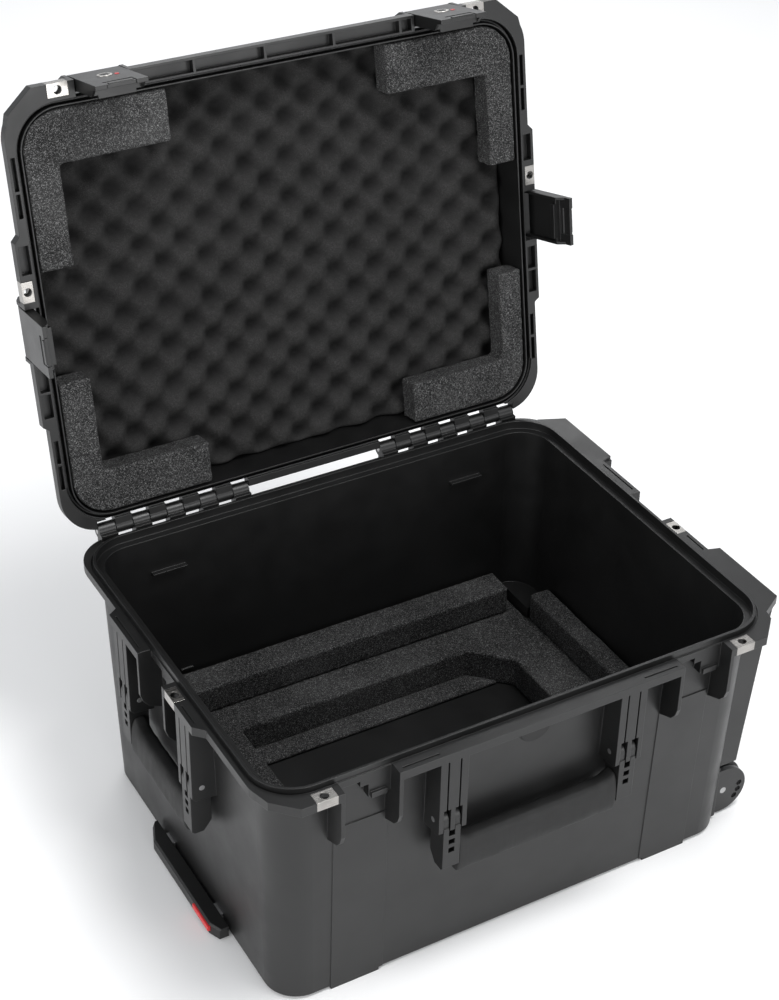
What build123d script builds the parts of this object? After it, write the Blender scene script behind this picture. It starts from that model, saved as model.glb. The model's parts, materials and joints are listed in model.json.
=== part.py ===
from build123d import *
import math
import os

os.makedirs("parts", exist_ok=True)

# ---------------------------------------------------------------- driving dimensions (mm, degrees)
# Frame: X along the length (the pull handle is at -X, the wheels at +X), Y from front (-) to back (+),
# Z up, origin on the ground under the middle of the tub.

FOOT_H = 4.0                  # the tub's lower edge above the ground
RIM_Z = 293.0                 # parting plane of base and lid
FLOOR_Z = 20.0                # inside floor, 273 below the rim
FLOOR_T = 4.0
TUB_TOP = (283.0, 219.0)      # outer half length and half width at the rim
TUB_BOTTOM = (275.8, 211.5)   # the same at the lower edge
TUB_R_TOP = 40.0
TUB_R_BOTTOM = 36.0
WALL = 4.0
SKIRT_T = 6.0                 # wall around the underside
FLANGE_T = 10.0
FLANGE_HALF = (297.0, 235.0)
FLANGE_R = 44.0
TONGUE_OUT = 7.5              # tongue's outer face beyond the wall
TONGUE_T = 3.0
RIM_STEP = 5.0                # depth of the step inside the tongue
SWING_ROOM = 2.1              # room outside the tongue where the lid swings past it
TONGUE_H = 5.0

FRONT_REACH = 26.0            # the front fixtures' reach from the wall
SIDE_REACH = 24.0
LATCH_X = 193.0               # front latches' middle
SIDE_Y = 5.0                  # side fixtures' middle
CATCH_HALF = 29.0             # half width between a catch's fins
FIN_T = 4.0
LOCK_U0 = 36.0                # padlock plate's span from the latch's middle
LOCK_U1 = 58.0
LOCK_HOLE_R = 4.5

POST_W = 31.0
POST_FRONT = 103.5            # front handle posts' middle
POST_SIDE = 76.0              # side handle posts' middle
POST_BOTTOM = 190.0
TINE_T = 5.0
TINE_TOP = 222.0
HANDLE_PIN_Z = 205.0
HANDLE_PIN_R = 3.0
ARM_W = 19.0
ARM_BOTTOM = 142.0
PRONG_T = 6.0
GRIP_Z0 = 128.0
GRIP_Z1 = 171.0

HINGE_Y = 241.0
HINGE_Z = 300.0
HINGE_X0 = 84.0
KNUCKLES = 9
KNUCKLE_W = 20.0
KNUCKLE_R = 8.0
KNUCKLE_GAP = 0.4
WEB_Y = 228.0                 # where the base's knuckle webs start
HINGE_PIN_R = 3.0
RUN = 0.06                    # radial clearance of a pin in the piece that turns on it
PRESS = 0.02                  # radial clearance of a pin in the piece that holds it
FAR = 50.0                    # length that carries a cut clear of both faces
LID_OPEN = 100.0              # lid angle of the stored pose

LID_GAP = 0.3
LID_Z0 = RIM_Z + LID_GAP
LID_TOP = 361.0
LID_INNER_TOP = 344.0
LID_OUT = 6.0                 # the lid's wall stands this far outside the tub's
LID_HALF_RIM = (TUB_TOP[0] + LID_OUT, TUB_TOP[1] + LID_OUT)
LID_HALF_TOP = (LID_HALF_RIM[0] - 5, LID_HALF_RIM[1] - 5)
LID_MOUTH = 2.4               # the lid's inner wall beyond the tub's outer wall, at its mouth
LID_SPREAD = 4.0              # the lid's flange beyond the base's
LID_FLANGE_T = 12.0
FLANGE_RIBS = (-162, -93, -13, 67, 147, 162)  # ribs under the lid's front flange
LATCH_PIN_V = 15.0            # latch pin's distance from the wall
LATCH_PIN_Z = 318.0
LATCH_PIN_R = 2.5
LATCH_HALF = 27.6
LATCH_BOTTOM = 238.0
LATCH_REST = 2.0              # latches hang this far off their closed position
LATCH_REST_RIGHT = 12.0

WHEEL_X = 286.0
WHEEL_Z = 33.0
WHEEL_R = 32.0
WHEEL_W = 36.0
WHEEL_Y = (-165.0, 180.0)     # the two wheels' middles
CHEEK_T = 5.5
AXLE_R = 4.0
WELL_X = 248.0
WELL_TOP = 70.0
WELL_HALF = 27.5

TUBE_Y = (-70.0, 50.0)
TUBE_Z = 10.1
PULL_Y0 = -100.0              # the pull bar's span
PULL_Y1 = 80.0
PULL_X0 = -296.0
PULL_X1 = -279.5
BUTTON_Y0 = -88.0             # the release button's span
BUTTON_Y1 = -50.0


# ---------------------------------------------------------------- small helpers
def block(x0, x1, y0, y1, z0, z1, mode=Mode.ADD):
    with Locations(((x0 + x1) / 2, (y0 + y1) / 2, (z0 + z1) / 2)):
        Box(x1 - x0, y1 - y0, z1 - z0, mode=mode)


def rod_x(y, z, r, x0, x1, mode=Mode.ADD):
    with BuildSketch(Plane.YZ.offset(x0)) as disc:
        with Locations((y, z)):
            Circle(r)
    extrude(disc.sketch, amount=x1 - x0, mode=mode)


def rod_y(x, z, r, y0, y1, mode=Mode.ADD):
    with BuildSketch(Plane.XZ.offset(-y1)) as disc:
        with Locations((x, z)):
            Circle(r)
    extrude(disc.sketch, amount=y1 - y0, mode=mode)


def rod_z(x, y, r, z0, z1, mode=Mode.ADD):
    with BuildSketch(Plane.XY.offset(z0)) as disc:
        with Locations((x, y)):
            Circle(r)
    extrude(disc.sketch, amount=z1 - z0, mode=mode)


def prism_x(points, x0, x1, mode=Mode.ADD):
    """Polygon of (y, z) points drawn from x0 to x1."""
    with BuildSketch(Plane.YZ.offset(x0)) as outline:
        Polygon(*points, align=None)
    extrude(outline.sketch, amount=x1 - x0, mode=mode)


def prism_y(points, y0, y1, mode=Mode.ADD):
    """Polygon of (x, z) points drawn from y0 to y1."""
    with BuildSketch(Plane.XZ.offset(-y1)) as outline:
        Polygon(*points, align=None)
    extrude(outline.sketch, amount=y1 - y0, mode=mode)


def tapered(half0, r0, z0, half1, r1, z1, mode=Mode.ADD):
    """Rounded rectangle at z0 lofted to another at z1."""
    with BuildSketch(Plane.XY.offset(z0)) as low:
        RectangleRounded(2 * half0[0], 2 * half0[1], r0)
    with BuildSketch(Plane.XY.offset(z1)) as high:
        RectangleRounded(2 * half1[0], 2 * half1[1], r1)
    loft([low.sketch.face(), high.sketch.face()], ruled=True, mode=mode)


def ring(out, width, radius, z0, z1, mode=Mode.ADD):
    """Upright ring around the rim: outer face 'out' beyond the wall, 'width' thick."""
    hx = TUB_TOP[0] + out
    hy = TUB_TOP[1] + out
    with BuildSketch(Plane.XY.offset(z0)) as band:
        RectangleRounded(2 * hx, 2 * hy, radius)
        RectangleRounded(2 * (hx - width), 2 * (hy - width), radius - width, mode=Mode.SUBTRACT)
    extrude(band.sketch, amount=z1 - z0, mode=mode)


def save(part, name):
    part.label = name
    export_step(part, f"parts/{name}.step")


# The fixtures are drawn against a wall at y = 0 with outward = -Y, then carried to their side.
AT_FRONT = Location((0, -TUB_TOP[1], 0))
AT_FRONT_LEFT = Location((-LATCH_X, -TUB_TOP[1], 0))
AT_FRONT_RIGHT = Location((LATCH_X, -TUB_TOP[1], 0))
AT_LEFT = Location((-TUB_TOP[0], SIDE_Y, 0)) * Rotation(0, 0, -90)
AT_RIGHT = Location((TUB_TOP[0], SIDE_Y, 0)) * Rotation(0, 0, 90)
# Where each latch sits, the side its padlock plate is on, and how far it hangs open.
STATIONS = {
    "front_left": (AT_FRONT_LEFT, -1, FRONT_REACH, LATCH_REST),
    "front_right": (AT_FRONT_RIGHT, 1, FRONT_REACH, LATCH_REST),
    "left": (AT_LEFT, 1, SIDE_REACH, LATCH_REST),
    "right": (AT_RIGHT, -1, SIDE_REACH, LATCH_REST_RIGHT),
}
HANDLES = {
    "front": (AT_FRONT, POST_FRONT, FRONT_REACH),
    "left": (AT_LEFT, POST_SIDE, SIDE_REACH),
    "right": (AT_RIGHT, POST_SIDE, SIDE_REACH),
}
OPEN_LID = (
    Location((0, HINGE_Y, HINGE_Z))
    * Rotation(-LID_OPEN, 0, 0)
    * Location((0, -HINGE_Y, -HINGE_Z))
)


def swing_latch(angle):
    """Turn a latch outward about its pin, in the fixture's own frame."""
    return (
        Location((0, -LATCH_PIN_V, LATCH_PIN_Z))
        * Rotation(-angle, 0, 0)
        * Location((0, LATCH_PIN_V, -LATCH_PIN_Z))
    )


# ---------------------------------------------------------------- base fixtures
LIP_Z0 = 260.0                # the catch's lip that the latch's claw holds
LIP_Z1 = 266.0
CATCH_V = 9.0
LIP_V = 12.0
PLATE_V0 = 12.0               # padlock plate's span out from the wall


def catch_station(reach):
    """Two fins and between them the catch with the lip that the latch's claw holds."""
    with BuildPart() as station:
        for side in (-1, 1):
            u0 = side * CATCH_HALF
            u1 = side * (CATCH_HALF + FIN_T)
            fin = [(4, 292), (-reach, 292), (-reach, 238), (-reach + 3, 229), (-reach + 9, 222), (4, 213)]
            prism_x(fin, min(u0, u1), max(u0, u1))
        block(-CATCH_HALF - 1, CATCH_HALF + 1, -CATCH_V, 4, RIM_Z - FLANGE_T, RIM_Z)
        # the catch: a hooked block beside the right fin, with a smaller stop left of it
        block(5, CATCH_HALF + 1, -CATCH_V, 4, LIP_Z0, RIM_Z)
        block(7, 24, -LIP_V, -CATCH_V, LIP_Z0, LIP_Z1)
        block(-4, 6, -CATCH_V, 4, LIP_Z0 + 16, RIM_Z)
    return station.part


def lock_plate(lock_side, reach, z0, z1):
    """Metal cap around the flange's edge with a hole for a padlock."""
    u0, u1 = sorted((lock_side * LOCK_U0, lock_side * LOCK_U1))
    skin = 1.4
    with BuildPart() as plate:
        block(u0, u1, -reach, -PLATE_V0, z0, z1)
        block(u0 - 1, u1 + 1, -reach + skin, -PLATE_V0 + 1, z0 + skin, z1 - skin, Mode.SUBTRACT)
        hole_v = -(reach + PLATE_V0) / 2
        rod_z((u0 + u1) / 2, hole_v, LOCK_HOLE_R, z0 - 1, z1 + 1, Mode.SUBTRACT)
    return plate.part


def lock_plate_seat(lock_side, reach, z0, z1):
    """Everything of the flange that the padlock plate takes the place of."""
    u0, u1 = sorted((lock_side * LOCK_U0, lock_side * LOCK_U1))
    skin = 1.6
    with BuildPart() as seat:
        block(u0 - 0.2, u1 + 0.2, -reach - 2, -PLATE_V0 + 0.2, z0 - 2, z1 + 2)
        block(u0 - 2, u1 + 2, -reach + skin, -PLATE_V0 + 2, z0 + skin, z1 - skin, Mode.SUBTRACT)
        hole_v = -(reach + PLATE_V0) / 2
        rod_z((u0 + u1) / 2, hole_v, LOCK_HOLE_R + 1.2, z0 - 2, z1 + 2)
    return seat.part


def handle_posts(middle, reach):
    """Pair of ribbed posts, forked at the foot where the handle is pinned."""
    pin_v = -reach / 2 - 1
    with BuildPart() as posts:
        for side in (-1, 1):
            mid = side * middle
            body = [(6, 290), (-reach, 290), (-reach, 194), (-reach + 4, POST_BOTTOM), (6, POST_BOTTOM - 2)]
            prism_x(body, mid - POST_W / 2, mid + POST_W / 2)
            slot = POST_W / 2 - TINE_T
            for near in (-1, 1):
                u0, u1 = sorted((near * TINE_T / 2, near * slot))
                block(mid + u0, mid + u1, -reach - 1, 1, POST_BOTTOM - 10, TINE_TOP, Mode.SUBTRACT)
                groove = mid + near * POST_W / 4.6
                block(groove - 0.9, groove + 0.9, -reach - 1, -reach + 4, 215, 286, Mode.SUBTRACT)
            rod_x(pin_v, HANDLE_PIN_Z, HANDLE_PIN_R + PRESS, mid - POST_W, mid + POST_W, Mode.SUBTRACT)
    return posts.part


def hinge_knuckles(first, z_web0, z_web1, y_web):
    """Every second knuckle of both hinge groups, with the web that ties it to its flange."""
    with BuildPart() as knuckles:
        for side in (-1, 1):
            for index in range(first, KNUCKLES, 2):
                a = side * (HINGE_X0 + index * KNUCKLE_W)
                b = side * (HINGE_X0 + (index + 1) * KNUCKLE_W)
                x0 = min(a, b) + KNUCKLE_GAP
                x1 = max(a, b) - KNUCKLE_GAP
                rod_x(HINGE_Y, HINGE_Z, KNUCKLE_R, x0, x1)
                block(x0, x1, y_web, HINGE_Y, z_web0, z_web1)
    return knuckles.part


# ---------------------------------------------------------------- base shell
def flange_outline(grow=0.0):
    """Rim flange seen from above, with its wider reaches at the fixtures and the front corners."""
    fy = TUB_TOP[1] + FRONT_REACH
    sx = TUB_TOP[0] + SIDE_REACH
    RectangleRounded(2 * (FLANGE_HALF[0] + grow), 2 * (FLANGE_HALF[1] + grow / 2), FLANGE_R)
    side = FLANGE_HALF[0] + grow
    Polygon(
        (-side, -196), (-side + 7, -222), (-267, -fy), (267, -fy), (side - 7, -222), (side, -196),
        align=None,
    )
    Polygon((-290, 118), (-sx, 106), (-sx, -94), (-290, -112), (-250, -112), (-250, 118), align=None)


def base_flange():
    sx = TUB_TOP[0] + SIDE_REACH
    wide = 320.0
    edge = [(290, -212), (wide, -194), (wide, -96), (sx, -92), (sx, 107), (wide, 111), (wide, 205)]
    with BuildPart() as flange:
        with BuildSketch(Plane.XY.offset(RIM_Z - FLANGE_T)):
            flange_outline()
            Polygon(*edge, (290, 218), (250, 218), (250, -212), align=None)
        extrude(amount=FLANGE_T)
    return flange.part


def lid_flange():
    sx = TUB_TOP[0] + SIDE_REACH
    with BuildPart() as flange:
        with BuildSketch(Plane.XY.offset(LID_Z0)):
            flange_outline(LID_SPREAD)
            Polygon((290, 118), (sx, 106), (sx, -94), (290, -112), (250, -112), (250, 118), align=None)
        extrude(amount=LID_FLANGE_T)
    return flange.part


def catch_notch(reach, z0, z1):
    """Cut in a flange that leaves the latch its room between the fins."""
    with BuildPart() as notch:
        block(-CATCH_HALF, CATCH_HALF, -reach - 5, -CATCH_V, z0, z1)
    return notch.part


def wheel_column(y0, y1):
    """Upright fins on the right wall between the flange and a wheel."""
    width = 4.0
    span = y1 - y0 - width
    with BuildPart() as column:
        for index in range(5):
            y = y0 + span * index / 4
            prism_y(
                [(272, 290), (319, 290), (319, 282), (313, 235), (299, 72), (272, 72)],
                y,
                y + width,
            )
    return column.part


def bands():
    """Flat raised strips, 1 mm proud, that run down the walls into the feet."""
    proud = 1.0
    top_z = 224.0
    share = (top_z - FOOT_H) / (RIM_Z - FOOT_H)
    mid = [b + (t - b) * share for b, t in zip(TUB_BOTTOM, TUB_TOP)]
    with BuildPart() as strips:
        tapered(
            (TUB_BOTTOM[0], TUB_BOTTOM[1] + proud), TUB_R_BOTTOM, FOOT_H,
            (mid[0], mid[1] + proud), TUB_R_BOTTOM + 2, top_z,
        )
        with Locations((0, 0, 120)):
            Box(700, 380, 400, mode=Mode.SUBTRACT)
        block(-160, 160, -300, 300, -10, 300, Mode.SUBTRACT)
        block(220, 400, -300, 300, -10, 300, Mode.SUBTRACT)
        block(-400, -220, -300, 300, -10, 300, Mode.SUBTRACT)
    return strips.part


with BuildPart() as base_shell:
    tapered(TUB_BOTTOM, TUB_R_BOTTOM, FOOT_H, TUB_TOP, TUB_R_TOP, RIM_Z)
    add(bands())
    add(base_flange())
    add(wheel_column(-192, -92))
    add(wheel_column(107, 207))
    for place, lock_side, reach, _ in STATIONS.values():
        add(place * catch_notch(reach, RIM_Z - 60, RIM_Z + 1), mode=Mode.SUBTRACT)
        add(place * catch_station(reach))
        add(place * lock_plate_seat(lock_side, reach, RIM_Z - FLANGE_T, RIM_Z), mode=Mode.SUBTRACT)
    for place, middle, reach in HANDLES.values():
        add(place * handle_posts(middle, reach))
    # thin grooves in the flange's top, beside the catches
    for side in (-1, 1):
        x0, x1 = sorted((side * 118, side * 158))
        block(x0, x1, -240, -238.4, RIM_Z - 1.6, RIM_Z + 1, Mode.SUBTRACT)
        x0, x1 = sorted((side * 301.4, side * 303))
        block(x0, x1, 42, 100, RIM_Z - 1.6, RIM_Z + 1, Mode.SUBTRACT)
        block(x0, x1, -90, -60, RIM_Z - 1.6, RIM_Z + 1, Mode.SUBTRACT)
    # hinge: room for the lid's knuckles, then the base's own
    for side in (-1, 1):
        for index in range(1, KNUCKLES, 2):
            a = side * (HINGE_X0 + index * KNUCKLE_W)
            b = side * (HINGE_X0 + (index + 1) * KNUCKLE_W)
            room = (min(a, b) - KNUCKLE_GAP, max(a, b) + KNUCKLE_GAP)
            block(*room, 230, 260, HINGE_Z - KNUCKLE_R - KNUCKLE_GAP, RIM_Z + 20, Mode.SUBTRACT)
    add(hinge_knuckles(0, RIM_Z - FLANGE_T, HINGE_Z, WEB_Y))
    for side in (-1, 1):
        x0, x1 = sorted((side * (HINGE_X0 - 5), side * (HINGE_X0 + KNUCKLES * KNUCKLE_W + 5)))
        rod_x(HINGE_Y, HINGE_Z, HINGE_PIN_R + PRESS, x0, x1, Mode.SUBTRACT)
    # hollow tub
    inner_top = (TUB_TOP[0] - WALL, TUB_TOP[1] - WALL)
    inner_bottom = (TUB_BOTTOM[0] - WALL, TUB_BOTTOM[1] - WALL)
    tapered(
        inner_bottom, TUB_R_BOTTOM - WALL, FLOOR_Z,
        inner_top, TUB_R_TOP - WALL, RIM_Z + 0.01, Mode.SUBTRACT,
    )
    # step inside the rim, and the low tongue that stands around it
    step = TONGUE_OUT - TONGUE_T
    with BuildSketch(Plane.XY.offset(RIM_Z - RIM_STEP)):
        RectangleRounded(2 * (TUB_TOP[0] + step), 2 * (TUB_TOP[1] + step), TUB_R_TOP + step)
    extrude(amount=RIM_STEP + 1, mode=Mode.SUBTRACT)
    ring(TONGUE_OUT, TONGUE_T, TUB_R_TOP + TONGUE_OUT, RIM_Z, RIM_Z + TONGUE_H)
    # shallow gutter outside the tongue
    ring(TONGUE_OUT + 2.4, 2.4, TUB_R_TOP + TONGUE_OUT + 2.4, RIM_Z - 2, RIM_Z + 0.01, Mode.SUBTRACT)
    # short ledges on the inner back wall
    for x0, x1, z in ((-215, -174, 244), (166, 207, 244), (-188, -173, 100.5)):
        block(x0, x1, 208, 216, z - 1.2, z + 1.2)
    # underside: a skirt, with ribs left standing under the floor
    skirt = (TUB_BOTTOM[0] - SKIRT_T, TUB_BOTTOM[1] - SKIRT_T)
    with BuildSketch(Plane.XY.offset(FOOT_H - 1)):
        RectangleRounded(2 * skirt[0], 2 * skirt[1], TUB_R_BOTTOM - SKIRT_T)
    extrude(amount=FLOOR_Z - FLOOR_T - FOOT_H + 1, mode=Mode.SUBTRACT)
    for x in (-190, -95, 95, 190):
        for y0, y1 in ((-208, -86), (-54, 34), (66, 208)):
            block(x - 1.5, x + 1.5, y0, y1, FOOT_H, FLOOR_Z - FLOOR_T + 0.5)
    for y in (-140, -10, 130):
        block(-272, 240, y - 1.5, y + 1.5, FOOT_H, FLOOR_Z - FLOOR_T + 0.5)
    # feet, and a middle pad that the ground plane's origin lies on
    for side in (-1, 1):
        x0, x1 = sorted((side * 164.5, side * 219.5))
        block(x0, x1, -TUB_BOTTOM[1] - 0.9, -186, 0, FLOOR_Z - 2)
        block(x0, x1, 186, TUB_BOTTOM[1] + 0.9, 0, FLOOR_Z - 2)
    block(-30, 30, -34, 14, 0, FLOOR_Z - 2)
    # wheel wells at the right end
    for y in WHEEL_Y:
        y0 = y - WELL_HALF
        y1 = y + WELL_HALF
        block(WELL_X - WALL, 274, y0 - WALL, min(y1 + WALL, 210), FOOT_H, WELL_TOP + WALL)
        block(WELL_X, 300, y0, y1, -1, WELL_TOP, Mode.SUBTRACT)
        block(270, 330, y0, y1, -1, WELL_TOP + 1, Mode.SUBTRACT)
    # openings for the pull handle's tubes
    for y in TUBE_Y:
        block(-290, -260, y - 9.3, y + 9.3, TUBE_Z - 4.7, TUBE_Z + 4.7, Mode.SUBTRACT)

save(base_shell.part, "base_shell")

# ---------------------------------------------------------------- padlock plates
with BuildPart() as base_lock_plates:
    for place, lock_side, reach, _ in STATIONS.values():
        add(place * lock_plate(lock_side, reach, RIM_Z - FLANGE_T, RIM_Z))

save(base_lock_plates.part, "base_lock_plates")

with BuildPart() as lid_lock_plates:
    for place, lock_side, reach, _ in STATIONS.values():
        add(OPEN_LID * place * lock_plate(lock_side, reach, LID_Z0, LID_Z0 + LID_FLANGE_T))

save(lid_lock_plates.part, "lid_lock_plates")

# ---------------------------------------------------------------- hinge pins
with BuildPart() as hinge_pins:
    for side in (-1, 1):
        x0, x1 = sorted((side * HINGE_X0, side * (HINGE_X0 + KNUCKLES * KNUCKLE_W)))
        rod_x(HINGE_Y, HINGE_Z, HINGE_PIN_R, x0, x1)

save(hinge_pins.part, "hinge_pins")

# ---------------------------------------------------------------- vent cap under the front rim
with BuildPart() as vent_cap:
    wall_y = -TUB_TOP[1] - 0.05
    rod_y(0, 269.5, 19.5, wall_y - 6, wall_y)
    rod_y(0, 269.5, 18.2, wall_y - 7.4, wall_y)
    block(-30, 30, wall_y - 20, wall_y + 5, RIM_Z - FLANGE_T - 0.3, 310, Mode.SUBTRACT)

save(vent_cap.part, "vent_cap")

# ---------------------------------------------------------------- carry handles
HANDLE_V0 = 1.5               # the handle's clear distance from the wall


def handle_frame(middle, reach):
    """Two forked arms joined by a core bar that the rubber grip covers."""
    v1 = reach - 0.5
    pin_v = reach / 2 + 1
    half = ARM_W / 2
    with BuildPart() as frame:
        for side in (-1, 1):
            mid = side * middle
            arm = [
                (-HANDLE_V0, ARM_BOTTOM + 12), (-HANDLE_V0, HANDLE_PIN_Z - 8), (-v1, HANDLE_PIN_Z - 8),
                (-v1, ARM_BOTTOM + 3), (-v1 + 3, ARM_BOTTOM), (-HANDLE_V0 - 9, ARM_BOTTOM),
            ]
            prism_x(arm, mid - half, mid + half)
            for u0, u1 in ((-half, -half + PRONG_T), (half - PRONG_T, half)):
                rod_x(-pin_v, HANDLE_PIN_Z, 10.5, mid + u0, mid + u1)
                block(mid + u0, mid + u1, -pin_v - 10.5, -pin_v + 10.5, HANDLE_PIN_Z - 10, HANDLE_PIN_Z)
            inner = half - PRONG_T
            block(mid - inner, mid + inner, -v1 - 1, 0, 175, 181.5, Mode.SUBTRACT)
            block(mid - inner, mid + inner, -v1 - 1, 0, 164, 170.5, Mode.SUBTRACT)
            block(mid - inner, mid + inner, -v1 - 1, 0, HANDLE_PIN_Z - 19, 240, Mode.SUBTRACT)
            rod_x(-pin_v, HANDLE_PIN_Z, HANDLE_PIN_R + RUN, mid - 20, mid + 20, Mode.SUBTRACT)
        block(-middle, middle, -v1 + 6, -HANDLE_V0 - 6, ARM_BOTTOM + 2, ARM_BOTTOM + 20)
    return frame.part


def handle_grip(middle, reach):
    """Rubber sleeve around the core bar, with thicker shoulders at the arms."""
    v1 = reach - 0.2
    length = middle - ARM_W / 2 - 0.3
    z_mid = (GRIP_Z0 + GRIP_Z1) / 2
    v_mid = (HANDLE_V0 + v1) / 2
    with BuildPart() as grip:
        with BuildSketch(Plane.YZ.offset(-length)) as section:
            with Locations((-v_mid, z_mid)):
                RectangleRounded(v1 - HANDLE_V0, GRIP_Z1 - GRIP_Z0, (v1 - HANDLE_V0) / 2 - 0.3)
        extrude(section.sketch, amount=2 * length)
        block(
            -middle, middle, -v1 + 6.25, -HANDLE_V0 - 5.95,
            ARM_BOTTOM + 1.95, ARM_BOTTOM + 20.05, Mode.SUBTRACT,
        )
    return grip.part


for name, (place, middle, reach) in HANDLES.items():
    save(place * handle_frame(middle, reach), f"handle_{name}_frame")
    save(place * handle_grip(middle, reach), f"handle_{name}_grip")


def pin_pair(middle, reach):
    with BuildPart() as pair:
        for side in (-1, 1):
            mid = side * middle
            rod_x(-reach / 2 - 1, HANDLE_PIN_Z, HANDLE_PIN_R, mid - POST_W / 2, mid + POST_W / 2)
    return pair.part


with BuildPart() as handle_pins:
    for place, middle, reach in HANDLES.values():
        add(place * pin_pair(middle, reach))

save(handle_pins.part, "handle_pins")

# ---------------------------------------------------------------- foam and panel in the base
FOAM_GAP = 0.6                # foam's clearance to the hard shell
BED_Z = 61.0                  # top of the foam bed
BAR_Z = 97.0                  # top of the raised foam bars
PANEL_T = 2.0
RECESS = (-153.0, 187.0, -150.0, 127.0)
RECESS_CHAMFER = 42.0

bed_half = (TUB_BOTTOM[0] - WALL - FOAM_GAP, TUB_BOTTOM[1] - WALL - FOAM_GAP)
with BuildPart() as foam_cradle:
    with BuildSketch(Plane.XY.offset(FLOOR_Z + 0.2)) as bed:
        RectangleRounded(2 * bed_half[0], 2 * bed_half[1], TUB_R_BOTTOM - WALL)
        x0, x1, y0, y1 = RECESS
        c = RECESS_CHAMFER
        Polygon((x0, y0), (x1, y0), (x1, y1 - c), (x1 - c, y1), (x0, y1), align=None, mode=Mode.SUBTRACT)
        for y in WHEEL_Y:
            with Locations((WELL_X + 22, y)):
                Rectangle(2 * (WALL + 22 + FOAM_GAP), 2 * (WELL_HALF + WALL + FOAM_GAP), mode=Mode.SUBTRACT)
        with Locations((WELL_X + 22, TUB_BOTTOM[1])):
            Rectangle(2 * (WALL + 22 + FOAM_GAP), 60, mode=Mode.SUBTRACT)
        with Locations((WELL_X + 22, -TUB_BOTTOM[1])):
            Rectangle(2 * (WALL + 22 + FOAM_GAP), 60, mode=Mode.SUBTRACT)
    extrude(bed.sketch, amount=BED_Z - FLOOR_Z - 0.2)

save(foam_cradle.part, "foam_cradle")


def foam_bar(x0, x1, y0, y1):
    """Bar on the bed, rounded where it meets the tub's corners."""
    with BuildPart() as bar:
        with BuildSketch(Plane.XY.offset(BED_Z + 0.1)) as outline:
            RectangleRounded(2 * bed_half[0], 2 * bed_half[1], TUB_R_BOTTOM - WALL)
            with Locations(((x0 + x1) / 2, (y0 + y1) / 2)):
                Rectangle(x1 - x0, y1 - y0, mode=Mode.INTERSECT)
        extrude(outline.sketch, amount=BAR_Z - BED_Z - 0.1)
    return bar.part


foam_back_bar = foam_bar(-280, 228, 168, 220)

save(foam_back_bar, "foam_back_bar")

foam_right_bar = foam_bar(244, 280, -128, 146)
save(foam_right_bar, "foam_right_bar")

with BuildPart() as foam_recess_step:
    x0, x1, y0, y1 = RECESS
    reach_x = x1 - RECESS_CHAMFER - 1
    with BuildSketch(Plane.XY.offset(FLOOR_Z + 0.2)) as outline:
        Polygon(
            (x0 + 0.6, 97), (reach_x + y1 - 97, 97), (reach_x, y1 - 0.6), (x0 + 0.6, y1 - 0.6),
            align=None,
        )
    extrude(outline.sketch, amount=6.8)

save(foam_recess_step.part, "foam_recess_step")

with BuildPart() as recess_panel:
    slant_y = y1 - RECESS_CHAMFER - 1
    with BuildSketch(Plane.XY.offset(FLOOR_Z + 0.2)) as outline:
        Polygon(
            (x0 + 1, y0 + 1), (x1 - 1, y0 + 1), (x1 - 1, slant_y),
            (x1 - 1 - (96 - slant_y), 96), (x0 + 1, 96), align=None,
        )
    extrude(outline.sketch, amount=PANEL_T - 0.2)

save(recess_panel.part, "recess_panel")

# ---------------------------------------------------------------- wheels
with BuildPart() as wheel_brackets:
    for y in WHEEL_Y:
        for side in (-1, 1):
            y0, y1 = sorted((y + side * (WELL_HALF - 0.2), y + side * (WELL_HALF - 0.2 - CHEEK_T)))
            rod_y(WHEEL_X, WHEEL_Z, WHEEL_R - 1.5, y0, y1)
            block(WELL_X + 0.3, WHEEL_X, y0, y1, WHEEL_Z - 18, WHEEL_Z + 30.3)
            rod_y(WHEEL_X, WHEEL_Z, AXLE_R + 0.03, y0 - 5, y1 + 5, Mode.SUBTRACT)
        block(WELL_X + 0.3, WELL_X + 3.5, y - WELL_HALF + 1, y + WELL_HALF - 1, WHEEL_Z - 18, WHEEL_Z + 30.3)
    # curved slot and screw hollow on the outer cheeks' faces
    for y, out in ((WHEEL_Y[0], -1), (WHEEL_Y[1], 1)):
        face = y + out * (WELL_HALF - 0.2)
        y0, y1 = sorted((face - out * 2.2, face + out * 3))
        with BuildSketch(Plane.XZ.offset(-y1)) as slot:
            with Locations((WHEEL_X, WHEEL_Z)):
                with PolarLocations(22, 3, start_angle=-40, angular_range=70):
                    Circle(3.6)
        extrude(slot.sketch, amount=y1 - y0, mode=Mode.SUBTRACT)

save(wheel_brackets.part, "wheel_brackets")

with BuildPart() as wheel_axles:
    for y in WHEEL_Y:
        rod_y(WHEEL_X, WHEEL_Z, AXLE_R, y - WELL_HALF + 0.2, y + WELL_HALF - 0.2)

save(wheel_axles.part, "wheel_axles")

HUB_R = 24.0
HUB_BOSS_R = 9.0
HUB_HOLES = 6
HUB_HOLE_R = 4.0
HUB_HOLE_PITCH_R = 15.0


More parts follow.
